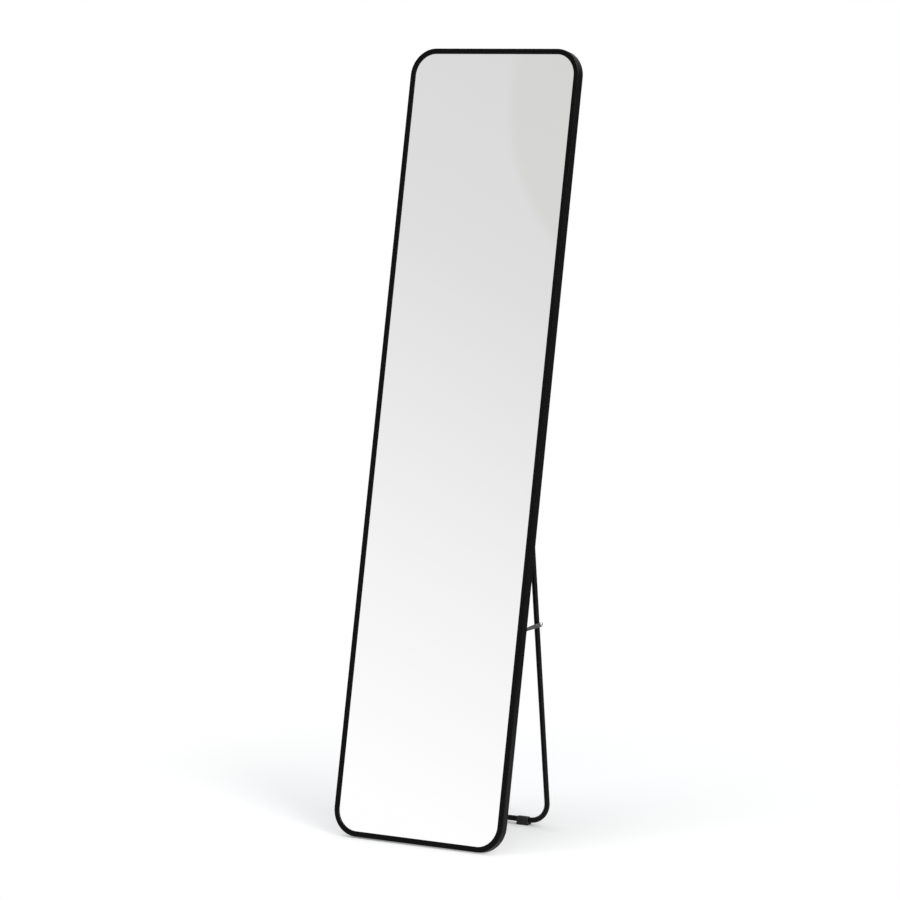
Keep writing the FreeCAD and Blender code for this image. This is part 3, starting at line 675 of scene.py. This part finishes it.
# Flat plate on the rail's back face. Each ear is pushed out of it and rounded about the pivot.
def makeBracket(name, size):
    up, radius, sheet = size["up"], size["earRadius"], size["sheet"]
    face, end = sheet + rail["back"], size["pivotOut"] + radius
    piece = makeBox(name, ((size["lowX"] + size["highX"]) / 2, face - sheet / 2, up),
                    (size["highX"] - size["lowX"], sheet, size["height"]))
    pickEdges(piece, lambda a, b: near(a.x, b.x) and near(a.z, b.z) and not near(a.y, b.y)
              and any(near(a.x, x) for x in size["round"]))
    roundEdges(size["cornerRadius"], size["cornerSteps"])
    for low in size["ears"]:
        high = low + sheet
        editMode("FACE")
        for x in (low, high):
            cutAt((x, 0, 0), (1, 0, 0))
        for z in (up - radius, up + radius):
            cutAt((0, 0, z), (0, 0, 1))
        pickFaces(piece, lambda middle, normal: normal.y > limits["facing"] and near(middle.y, face)
                  and low < middle.x < high and abs(middle.z - up) < radius)
        bpy.ops.mesh.extrude_region_move(TRANSFORM_OT_translate={"value": (0, end - face, 0)})
        pickEdges(piece, lambda a, b: near(a.y, end) and near(b.y, end) and near(a.z, b.z)
                  and low - limits["near"] < min(a.x, b.x) and max(a.x, b.x) < high + limits["near"])
        roundEdges(radius * 0.999, size["earSteps"], clamp_overlap=False)  # just short of meeting
    tidyFlat()
    boreThrough(piece, size["pivotX"], size["pivotOut"], up, size["hole"], 10 * sheet)
    softenEdges(piece, size["edge"], size["edgeAngle"])
    return piece


finishPair(makeBracket("hingeBracketRight", hingeBracket), "hingeBracketLeft", "mirror", railBlack,
           ("frame", "frame"), ("hinge_bracket_left", "hinge_bracket_right"))
finishPair(makeBracket("stayBracketRight", stayBracket), "stayBracketLeft", "mirror", brightZinc,
           ("frame", "frame"), ("stay_bracket_left", "stay_bracket_right"))
print("brackets made")


screw = {
    "headRadius": 0.0034, "headHeight": 0.0018, "headBevel": 0.0011, "headSteps": 5, "radius": 0.00175,
    "sides": 32, "tipBevel": 0.0008, "tipSteps": 2, "overlap": 0.0003,
    "recess": (0.0036, 0.0024, 0.0008), "recessTaper": 0.45, "fromOutside": 0.0066,
    "railReach": 0.0049, "seamReach": 0.0054, "seamX": 0.019,
}


# Pan head with a cross recess, on the flange's back face, and its shank.
def makeScrew(name, x, up, reach):
    height, overlap = screw["headHeight"], screw["overlap"]
    head = makeRod(name, (x, 0, up), (x, height, up), screw["headRadius"])
    roundRim(head, 1, height, screw["headBevel"], screw["headSteps"])
    length, depth, width = screw["recess"]
    taper = screw["recessTaper"]
    for arm in ((length, depth, width), (width, depth, length)):
        cutter = makeBox("crossRecess", (x, height, up), arm)
        pickFaces(cutter, lambda middle, normal: normal.y < -limits["facing"])
        bpy.ops.transform.resize(value=(taper, 1, taper))
        cutOut(head, cutter)
    shank = makeRod("screwShank", (x, -reach, up), (x, overlap, up), screw["radius"], screw["sides"])
    roundRim(shank, 1, -reach, screw["tipBevel"], screw["tipSteps"])
    return joined([head, shank], name)


def makeScrewSet(name, places, reach, node):
    firstX, firstUp = places[0]
    first = makeScrew(name, firstX, firstUp, reach)
    others = [copyOf(first, f"{name}{index}", (x - firstX, 0, up - firstUp))
              for index, (x, up) in enumerate(places[1:], start=2)]
    finishPiece(joined([first, *others], name), "mirror", blackOxide, "frame", node)


flangeX = hoop["width"] / 2 - screw["fromOutside"]
makeScrewSet("railScrews", [(side * flangeX, size["up"]) for size in (hingeBracket, stayBracket)
                            for side in (-1, 1)], screw["railReach"], "rail_screws")
makeScrewSet("seamScrews", [(side * screw["seamX"], screw["fromOutside"]) for side in (-1, 1)],
             screw["seamReach"], "seam_screws")

clevis = {"innerX": 0.1375, "outerX": 0.1465, "hexFlats": 0.008}
hingeBolt = {
    "radius": 0.0025, "headHeight": 0.0035, "headBevel": 0.0005, "edge": 0.00015, "edgeAngle": 40,
    "tip": 0.001, "tipBevel": 0.0005, "bevelSteps": 2, "overlap": 0.0002,
}
lockNut = {
    "height": 0.0042, "collar": 0.0013, "collarRadius": 0.0035, "overlap": 0.0004, "hexBevel": 0.0004,
    "hexSteps": 2, "collarBevel": 0.0007, "collarSteps": 4, "hole": 0.00255, "drill": 0.01,
}


# Rod along X on the line through a bracket's pivots.
def rodOnPivot(name, bracket, lowX, highX, radius, **shape):
    out, up = bracket["pivotOut"], bracket["up"]
    return makeRod(name, (lowX, out, up), (highX, out, up), radius, **shape)


def hexagonOnPivot(name, lowX, highX):
    radius = clevis["hexFlats"] / math.sqrt(3)
    return rodOnPivot(name, hingeBracket, lowX, highX, radius, sides=6, turn=math.pi / 2)


def makeHingeBolt(size):
    face, steps = clevis["outerX"], size["bevelSteps"]
    far = face + size["headHeight"]
    head = hexagonOnPivot("boltHead", face, far)
    roundRim(head, 0, far, size["headBevel"], steps)
    softenEdges(head, size["edge"], size["edgeAngle"])
    tip = clevis["innerX"] - lockNut["height"] - size["tip"]
    shank = rodOnPivot("boltShank", hingeBracket, tip, face + size["overlap"], size["radius"])
    roundRim(shank, 0, tip, size["tipBevel"], steps)
    return joined([head, shank], "hingeBoltRight")


# Hexagon nut with the round collar that holds its nylon ring.
def makeLockNut(size):
    inner = clevis["innerX"]
    far = inner - size["height"]
    hexEnd = far + size["collar"]
    body = hexagonOnPivot("nutBody", hexEnd, inner)
    for x in (inner, hexEnd):
        roundRim(body, 0, x, size["hexBevel"], size["hexSteps"])
    collar = rodOnPivot("nutCollar", hingeBracket, far, hexEnd + size["overlap"], size["collarRadius"])
    roundRim(collar, 0, far, size["collarBevel"], size["collarSteps"])
    for part in (body, collar):
        boreThrough(part, (far + inner) / 2, hingeBracket["pivotOut"], hingeBracket["up"], size["hole"],
                    size["drill"])
    return joined([body, collar], "lockNutRight")


rivet = {
    "innerX": 0.14965, "outerX": 0.154, "radius": 0.0022, "headRadius": 0.0038, "headHeight": 0.0014,
    "headBevel": 0.0011, "bevelSteps": 5, "overlap": 0.0002,
}


# Shank between two domed heads.
def makeRivet(size):
    inner, outer, overlap = size["innerX"], size["outerX"], size["overlap"]
    shank = rodOnPivot("rivetShank", stayBracket, inner - overlap, outer + overlap, size["radius"])
    heads = []
    for name, seat, end in (("rivetInner", inner, inner - size["headHeight"]),
                            ("rivetOuter", outer, outer + size["headHeight"])):
        head = rodOnPivot(name, stayBracket, min(seat, end), max(seat, end), size["headRadius"])
        roundRim(head, 0, end, size["headBevel"], size["bevelSteps"])
        heads.append(head)
    return joined([*heads, shank], "stayRivetRight")


finishMirrored(makeHingeBolt(hingeBolt), "hingeBolts", "mirror", brightZinc, "frame",
               "hinge_bolts")
finishMirrored(makeLockNut(lockNut), "lockNuts", "mirror", brightZinc, "frame", "lock_nuts")
finishMirrored(makeRivet(rivet), "stayRivets", "mirror", brightZinc, "frame", "stay_rivets")
print("fixings made")


stand = {
    "legX": 0.142, "legLength": 0.8039297, "tubeRadius": 0.0055, "bendRadius": 0.042, "bendSteps": 20,
    "sides": 48, "neckDrop": 0.031, "lugDrop": 0.007, "lugThick": 0.0024, "lugWidth": 0.0159,
    "neckSteps": 10, "tipSteps": 10, "tipEnd": 0.0004, "hole": 0.00255, "drill": 0.006,
}


# One tube, bent twice. Each end is pressed flat into a lug with a round tip.
def makeStandTube():
    x, bend, length = stand["legX"], stand["bendRadius"], stand["legLength"]
    bpy.ops.mesh.primitive_circle_add(vertices=stand["sides"], radius=stand["tubeRadius"],
                                      location=(-x, 0, -stand["neckDrop"]))
    tube = named("standTube")
    bpy.ops.object.transform_apply(location=True)
    editMode("EDGE")
    straight = length - bend - stand["neckDrop"]
    for run, centreX in (((0, 0, -straight), bend - x), ((2 * (x - bend), 0, 0), x - bend)):
        bpy.ops.mesh.extrude_edges_move(TRANSFORM_OT_translate={"value": run})
        bpy.ops.mesh.spin(steps=stand["bendSteps"], angle=math.pi / 2, axis=(0, 1, 0),
                          center=(centreX, 0, bend - length))
    bpy.ops.mesh.extrude_edges_move(TRANSFORM_OT_translate={"value": (0, 0, straight)})
    for side in (-1, 1):
        pressEnd(tube, side)
    faceOutwards(tube)
    for side in (-1, 1):
        boreThrough(tube, side * x, 0, 0, stand["hole"], stand["drill"])
    return tube


# Flattens the open end on one side: width grows and thickness shrinks, then the tip is rounded.
def pressEnd(tube, side):
    centreX, start, radius = side * stand["legX"], -stand["neckDrop"], stand["tubeRadius"]
    pickEdges(tube, lambda a, b: near(a.z, start) and near(b.z, start) and a.x * side > 0)
    wide, thin = stand["lugWidth"] / 2, stand["lugThick"] / 2
    stations = []
    for step in range(1, stand["neckSteps"] + 1):
        share = step / stand["neckSteps"]
        eased = share * share * (3 - 2 * share)
        stations.append((start + share * (stand["neckDrop"] - stand["lugDrop"]),
                         radius + (thin - radius) * eased, radius + (wide - radius) * eased))
    stations.append((0.0, thin, wide))
    for step in range(1, stand["tipSteps"] + 1):
        turn = math.pi / 2 * step / stand["tipSteps"]
        stations.append((wide * math.sin(turn), thin, max(wide * math.cos(turn), stand["tipEnd"])))
    height, across, along = start, radius, radius
    for newHeight, newAcross, newAlong in stations:
        bpy.ops.mesh.extrude_edges_move(TRANSFORM_OT_translate={"value": (0, 0, newHeight - height)})
        bpy.ops.transform.resize(value=(newAcross / across, newAlong / along, 1),
                                 center_override=(centreX, 0, newHeight))
        height, across, along = newHeight, newAcross, newAlong
    bpy.ops.mesh.edge_face_add()


finishPiece(makeStandTube(), "hinge", standBlack, "stand", "stand_tube")
print("stand made")


foot = {
    "x": 0.085, "baseLength": 0.0268, "topLength": 0.025, "soleWidth": 0.0158, "shell": 0.0069,
    "roundSteps": 12, "soleLift": 0.0034, "edge": 0.0012, "edgeSteps": 4, "edgeAngle": 40,
    "grooves": 3, "grooveDepth": 0.0006, "clearance": 0.00005, "drill": 0.04, "slit": (0.04, 0.01, 0.0008),
}


# Sleeve round the tube that widens into a flat sole with a few treads.
def makeFoot():
    base, top, x, width = -spots["crossTube"][1][2], foot["shell"], foot["x"], foot["soleWidth"]
    piece = makeBox("footRight", (x, 0, (base + top) / 2), (foot["baseLength"], 2 * top, top - base))
    # round back over the tube
    pickEdges(piece, lambda a, b: near(a.z, top) and near(b.z, top) and near(a.y, b.y))
    roundEdges(top * 0.995, foot["roundSteps"], clamp_overlap=False)
    # the sole is wider than the sleeve, and the sleeve is shorter than the sole
    low, high = base + foot["soleLift"], base + 2 * foot["soleLift"]
    for lift in (low, high, 0):
        cutAt((0, 0, lift), (0, 0, 1))
    pickFaces(piece, lambda middle, normal: middle.z < low)
    bpy.ops.transform.resize(value=(1, width / (2 * top), 1), center_override=(x, 0, base))
    pickFaces(piece, lambda middle, normal: middle.z > high)
    bpy.ops.transform.resize(value=(foot["topLength"] / foot["baseLength"], 1, 1), center_override=(x, 0, 0))
    tidyFlat()
    softenEdges(piece, foot["edge"], foot["edgeAngle"], foot["edgeSteps"])
    # grooves between the treads
    editMode("FACE")
    step = width / (2 * foot["grooves"] + 1)
    lines = [(index + 1) * step - width / 2 for index in range(2 * foot["grooves"])]
    for line in lines:
        cutAt((0, line, 0), (0, 1, 0))
    for line in lines[::2]:
        pickFaces(piece, lambda middle, normal: normal.z < -limits["facing"] and near(middle.z, base)
                  and line < middle.y < line + step)
        bpy.ops.mesh.extrude_region_move(TRANSFORM_OT_translate={"value": (0, 0, foot["grooveDepth"])})
    tidyFlat()
    boreThrough(piece, x, 0, 0, stand["tubeRadius"] + foot["clearance"], foot["drill"])
    cutOut(piece, makeBox("slitCutter", (x, top, 0), foot["slit"]))
    return piece


finishPair(makeFoot(), "footLeft", "crossTube", rubber, ("stand", "stand"),
           ("foot_left", "foot_right"))

stud = {
    "drop": 0.387, "radius": 0.0025, "headRadius": 0.004, "seat": 0.1386, "head": 0.152, "end": 0.154,
    "overlap": 0.0002, "dome": 0.0014, "domeSteps": 5, "rim": 0.0003, "rimSteps": 2,
}


# Shouldered stud with a domed head, seated in the tube's outer wall.
def makeStud(size):
    def rod(name, lowX, highX, radius):
        return makeRod(name, (lowX, 0, -size["drop"]), (highX, 0, -size["drop"]), radius)

    shank = rod("studShank", size["seat"], size["head"] + size["overlap"], size["radius"])
    head = rod("studHead", size["head"], size["end"], size["headRadius"])
    roundRim(head, 0, size["end"], size["dome"], size["domeSteps"])
    roundRim(head, 0, size["head"], size["rim"], size["rimSteps"])
    return joined([shank, head], "studRight")


finishMirrored(makeStud(stud), "stayStuds", "hinge", brightZinc, "stand", "stay_studs")

# "jog" lists where the bar bends upwards: distance from the pivot, low edge and high edge.
stay = {
    "x": 0.1497, "sheet": 0.002, "shank": 0.005, "eye": 0.005, "reach": 0.1283048, "drop": 0.0085,
    "slot": 0.0028, "noseWidth": 0.003, "noseRise": 0.003, "toe": 0.0025,
    "jog": ((0.030, -0.0025, 0.0025), (0.074, 0.0024, 0.0094), (0.100, 0.0028, 0.0112)),
    "headLow": 0.003, "headHigh": 0.0125, "wallSlant": 0.0009, "bore": 0.00225, "drill": 0.01,
    "edge": 0.0003, "edgeAngle": 50, "arcSteps": 20,
}


# Low and high edge of the bar at each distance from its pivot, from the eye to the toe.
def stayStations():
    half, eye, steps = stay["shank"] / 2, stay["eye"], stay["arcSteps"]
    root = math.sqrt(eye ** 2 - half ** 2)
    stations = []
    for step in range(1, steps):
        turn = math.pi * (1 - step / steps)
        y = eye * math.cos(turn)
        if y < root:
            stations.append((y, -eye * math.sin(turn), eye * math.sin(turn)))
    stations.append((root, -half, half))
    reach, slot, drop = stay["reach"], stay["slot"], stay["drop"]
    wall, top, tip = reach + slot, drop + stay["noseRise"], stay["noseWidth"] / 2
    outer = wall + stay["noseWidth"]

    # lower edge of the hook, which curves up into the toe
    def lowAt(y):
        over = max(y - (outer - stay["toe"]), 0)
        return stay["headLow"] + stay["toe"] - math.sqrt(max(stay["toe"] ** 2 - over ** 2, 0))

    stations.extend(stay["jog"])
    stations.append((reach - slot - stay["wallSlant"], lowAt(reach - slot), stay["headHigh"]))
    for step in range(steps + 1):
        turn = math.pi * (step / steps - 1)
        y = reach + slot * math.cos(turn)
        stations.append((y, lowAt(y), drop + slot * math.sin(turn)))
    for step in range(steps):
        turn = math.pi * step / steps
        y = wall + tip * (1 - math.cos(turn))
        stations.append((y + limits["merge"], lowAt(y), top - tip + tip * math.sin(turn)))
    stations.append((outer, lowAt(outer - limits["near"]), top - tip))
    return stations


# Flat bar, pulled out station by station from its eye to its hook, then given its thickness.
def makeStay():
    stations = stayStations()
    y, low, high = stations[0]
    x, length, middle = stay["x"], high - low, 0.0
    bpy.ops.mesh.primitive_plane_add(size=1, location=(x, y, 0), rotation=(0, math.pi / 2, 0))
    piece = named("stayRight")
    bpy.ops.object.transform_apply(location=True, rotation=True)
    pickEdges(piece, lambda a, b: a.y < y or b.y < y)
    bpy.ops.mesh.delete(type="EDGE")
    editMode("EDGE")
    bpy.ops.transform.translate(value=(0, -0.5, 0))
    bpy.ops.transform.resize(value=(1, 1, length), center_override=(x, y, 0))
    for newY, newLow, newHigh in stations[1:]:
        newMiddle, newLength = (newLow + newHigh) / 2, newHigh - newLow
        bpy.ops.mesh.extrude_edges_move(
            TRANSFORM_OT_translate={"value": (0, newY - y, newMiddle - middle)})
        bpy.ops.transform.resize(value=(1, 1, newLength / length), center_override=(x, newY, newMiddle))
        y, middle, length = newY, newMiddle, newLength
    editMode("FACE")
    bpy.ops.mesh.extrude_region_move(TRANSFORM_OT_translate={"value": (stay["sheet"], 0, 0)})
    faceOutwards(piece)
    tidyFlat()
    boreThrough(piece, x, 0, 0, stay["bore"], stay["drill"])
    softenEdges(piece, stay["edge"], stay["edgeAngle"])
    return piece


finishPair(makeStay(), "stayLeft", "stayPivot", dullZinc, ("stay_left", "stay_right"),
           ("stay_left", "stay_right"))
print("feet, studs and stays made")


for node, material in (("glazing_tape", foam), ("setting_blocks", rubber), ("seam_plate", brightZinc),
                       ("board_clips", springSteel), ("hinge_washers", nylon)):
    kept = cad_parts[node]
    kept.data.materials.clear()
    kept.data.materials.append(material)
print("CAD nodes finished")


floorLook = {
    "radius": 60.0, "sides": 96, "shade": 0.93, "mottle": 0.01, "mottleScale": 0.7, "roughness": 0.9,
    "shadowCentre": (-0.2, 0.35, 0), "fade": (0.3, 0.95), "rear": (0.8, 1.2), "rearGlow": 0.28,
}


# Pale floor. Away from the object it is plain white for the camera, and behind it dim for gloss.
def makeFloor(look):
    bpy.ops.mesh.primitive_circle_add(vertices=look["sides"], radius=look["radius"], fill_type="NGON")
    floor = named("floor")
    material, tree, shader, position = startMaterial("paleFloor")
    mottle = addNode(tree, "TexNoise", {"Vector": position, "Scale": look["mottleScale"], "Detail": 2.0})
    shades = [(look["shade"] + change,) * 3 for change in (-look["mottle"], look["mottle"])]
    feed(tree, shader, {
        "Base Color": mixColour(tree, mottle.outputs["Fac"], *shades),
        "Roughness": look["roughness"], "Specular IOR Level": 0})
    distance = addNode(tree, "VectorMath", {0: position, 1: look["shadowCentre"]}, operation="DISTANCE")
    fade = spread(tree, distance.outputs["Value"], look["fade"], interpolation_type="SMOOTHSTEP")
    depth = addNode(tree, "SeparateXYZ", {"Vector": position}).outputs["Y"]
    path = addNode(tree, "LightPath")
    surface = shader.outputs[0]
    for share, ray, strength in ((spread(tree, depth, look["rear"]), "Is Glossy Ray", look["rearGlow"]),
                                 (fade, "Is Camera Ray", 1.0)):
        glow = addNode(tree, "Emission", {"Color": (1, 1, 1, 1), "Strength": strength})
        surface = addNode(tree, "MixShader", {
            0: combine(tree, "MULTIPLY", share, path.outputs[ray]), 1: surface,
            2: glow.outputs[0]}).outputs[0]
    tree.links.new(surface, tree.nodes["Material Output"].inputs["Surface"])
    floor.data.materials.append(material)


# What the mirror and the paint reflect. Heights are those of a direction one metre long.
room = {
    "ambient": 0.92, "ambientTint": (0.98, 0.99, 1, 1), "tilt": 0.36, "sweepSpan": (-0.07, 0.18),
    "sweep": [(0.08, 1.0), (0.3, 0.91), (0.5, 0.815), (0.68, 0.735), (0.95, 0.69)],
    "panelAt": (-0.472, -0.81, 0.322), "panelStretch": (38, 0, 25), "panelEdge": (1.05, 0.9),
    "panelShare": 0.5, "panelShade": (0.64, 0.64, 0.62),
    "rearSpan": (0.0, 0.4), "rearHeights": (0.12, 0.3), "rearGlow": (0.28, 0.8),
    "glint": 22.0, "glintFrom": (0.54, -0.43, 0.73), "glintEdge": (0.5, 0.3),
}


def makeWorld(look):
    world = bpy.data.worlds.new("studioLight")
    bpy.context.scene.world = world
    world.use_nodes = True
    tree = world.node_tree
    tree.nodes.clear()
    output = addNode(tree, "OutputWorld")
    path = addNode(tree, "LightPath")
    direction = addNode(tree, "TexCoord").outputs["Generated"]
    parts = addNode(tree, "SeparateXYZ", {"Vector": direction})
    # a sweep that is white low down and greyer above, with one darker panel
    height = combine(tree, "ADD", parts.outputs["Z"],
                     combine(tree, "MULTIPLY", parts.outputs["X"], look["tilt"]))
    sweep = rampOf(tree, spread(tree, height, look["sweepSpan"]), look["sweep"])
    offset = addNode(tree, "VectorMath", {0: direction, 1: look["panelAt"]}, operation="SUBTRACT")
    stretched = addNode(tree, "VectorMath", {0: offset.outputs["Vector"], 1: look["panelStretch"]},
                        operation="MULTIPLY")
    reach = addNode(tree, "VectorMath", {0: stretched.outputs["Vector"]}, operation="LENGTH")
    panel = spread(tree, reach.outputs["Value"], look["panelEdge"], (0, look["panelShare"]),
                   interpolation_type="SMOOTHSTEP")
    front = mixColour(tree, panel, sweep, look["panelShade"])
    # behind the mirror it is dim low down and brighter above
    rear = spread(tree, parts.outputs["Z"], look["rearHeights"], look["rearGlow"])
    around = mixColour(tree, spread(tree, parts.outputs["Y"], look["rearSpan"]), front, rear)
    # a small lamp that shows as a glint on the upper corners and doesn't light the floor
    aside = addNode(tree, "VectorMath", {0: direction, 1: look["glintFrom"]}, operation="DISTANCE")
    glint = spread(tree, aside.outputs["Value"], look["glintEdge"])
    direct = combine(tree, "LESS_THAN", path.outputs["Diffuse Depth"], 0.5)
    seen = mixColour(tree, combine(tree, "MULTIPLY", glint, direct), around, (look["glint"],) * 3)

    def background(colour, strength=1.0):
        return addNode(tree, "Background", {"Color": colour, "Strength": strength}).outputs[0]

    light = background(look["ambientTint"], look["ambient"])
    for ray, backdrop in (("Is Glossy Ray", background(seen)), ("Is Camera Ray", background((1, 1, 1, 1)))):
        light = addNode(tree, "MixShader", {0: path.outputs[ray], 1: light, 2: backdrop}).outputs[0]
    tree.links.new(light, output.inputs["Surface"])


lamps = {
    "leftSoftbox": {"place": (-2.2, -3.0, 2.6), "size": 2.2, "power": 36},
    "rightSoftbox": {"place": (3.0, -1.6, 2.4), "size": 1.6, "power": 60},
}
lampAim = (0, 0, 0.6)


# Square soft light that faces the middle of the mirror and doesn't show in it.
def makeLamp(name, look):
    lamp = bpy.data.lights.new(name, "AREA")
    lamp.shape = "SQUARE"
    lamp.size = look["size"]
    lamp.energy = look["power"]
    holder = bpy.data.objects.new(name, lamp)
    bpy.context.scene.collection.objects.link(holder)
    holder.location = look["place"]
    aim = Vector(lampAim) - Vector(look["place"])
    holder.rotation_mode = "QUATERNION"
    holder.rotation_quaternion = aim.to_track_quat("-Z", "Y")
    holder.visible_glossy = False


view = {
    "place": (3.72489, -6.27938, 1.59609), "azimuth": 30.79892, "elevation": 6.42254, "lens": 147.0781,
    "sensor": 36, "clipEnd": 100,
}


def makeCamera(look):
    camera = bpy.data.cameras.new("productCamera")
    camera.lens = look["lens"]
    camera.sensor_width = look["sensor"]
    camera.clip_end = look["clipEnd"]
    holder = bpy.data.objects.new("productCamera", camera)
    bpy.context.scene.collection.objects.link(holder)
    holder.location = look["place"]
    holder.rotation_euler = (math.radians(90 - look["elevation"]), 0, math.radians(look["azimuth"]))
    bpy.context.scene.camera = holder


makeFloor(floorLook)
makeWorld(room)
for name, look in lamps.items():
    makeLamp(name, look)
makeCamera(view)
bpy.context.scene.view_settings.view_transform = "Standard"
print("studio made")
